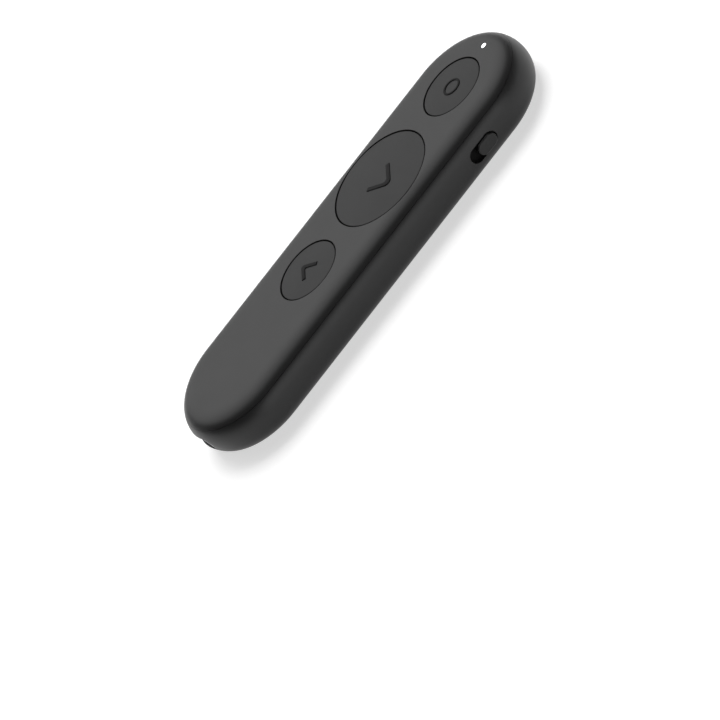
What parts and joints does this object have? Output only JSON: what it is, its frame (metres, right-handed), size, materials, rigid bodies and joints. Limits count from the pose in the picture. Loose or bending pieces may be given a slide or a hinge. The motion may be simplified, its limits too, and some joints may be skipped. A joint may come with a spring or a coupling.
{
  "type": "presenter remote control",
  "caption": "Flat round-ended handheld remote with round push buttons, a flank power slider, a status light, a charging port in its end and a glossy disc in its back.",
  "frame": {"origin": "under the middle of the body, on the back face that it lies on", "axes": "+Y along the body to the end with the status light, +X to the flank with the power slider, +Z out of the front"},
  "size_m": [0.0325, 0.104, 0.0105],
  "materials": {
    "shell_plastic": "satin black, fine grain",
    "button_plastic": "satin black",
    "slider_plastic": "satin black",
    "disc_gloss": "polished black",
    "pipe_clear": "clear, frosted end",
    "steel": "plated",
    "contact_gold": "gold flash",
    "port_black": "moulded",
    "board_green": "solder mask",
    "chip_black": "moulded",
    "ceramic": "fired",
    "cell_pouch": "laminate",
    "tape_white": "foam tape",
    "lead_red": "silicone",
    "lead_black": "silicone",
    "plug_white": "moulded",
    "lamp_white": "resin"
  },
  "bodies": {
    "case": {"front_cover": "shell_plastic", "rear_housing": "shell_plastic", "slide_switch_body": "steel", "main_board": "board_green", "board_screws": "steel", "port_shell": "steel", "port_tongue": "port_black", "port_contacts": "contact_gold", "cell": "cell_pouch", "cell_tape": "tape_white", "cell_guard": "board_green", "cell_lead_positive": "lead_red", "cell_lead_negative": "lead_black", "cell_plug": "plug_white", "cell_socket": "plug_white", "radio_chip": "chip_black", "radio_crystal": "steel", "motion_sensor": "chip_black", "charger_chip": "chip_black", "aerial_chip": "ceramic", "board_passives": "ceramic", "light_pipe": "pipe_clear", "status_lamp": "lamp_white", "back_disc": "disc_gloss", "disc_film": "tape_white", "pointer_switch_body": "chip_black", "pointer_switch_dome": "steel", "next_switch_body": "chip_black", "next_switch_dome": "steel", "previous_switch_body": "chip_black", "previous_switch_dome": "steel"},
    "slider": {"power_slider": "slider_plastic", "slide_switch_actuator": "port_black"},
    "pointer_key": {"pointer_button": "button_plastic", "pointer_switch_plunger": "port_black"},
    "next_key": {"next_button": "button_plastic", "next_switch_plunger": "port_black"},
    "previous_key": {"previous_button": "button_plastic", "previous_switch_plunger": "port_black"}
  },
  "joints": [
    {"name": "pointer_press", "type": "slide", "parent": "case", "child": "pointer_key", "axis": [0, 0, -1], "range_m": [0, 0.00025], "stiffness_N_per_m": 4000, "deforming": ["pointer_switch_dome"]},
    {"name": "next_press", "type": "slide", "parent": "case", "child": "next_key", "axis": [0, 0, -1], "range_m": [0, 0.00025], "stiffness_N_per_m": 4000, "deforming": ["next_switch_dome"]},
    {"name": "previous_press", "type": "slide", "parent": "case", "child": "previous_key", "axis": [0, 0, -1], "range_m": [0, 0.00025], "stiffness_N_per_m": 4000, "deforming": ["previous_switch_dome"]},
    {"name": "power_slide", "type": "slide", "parent": "case", "child": "slider", "axis": [0, -1, 0], "range_m": [0, 0.002]}
  ]
}
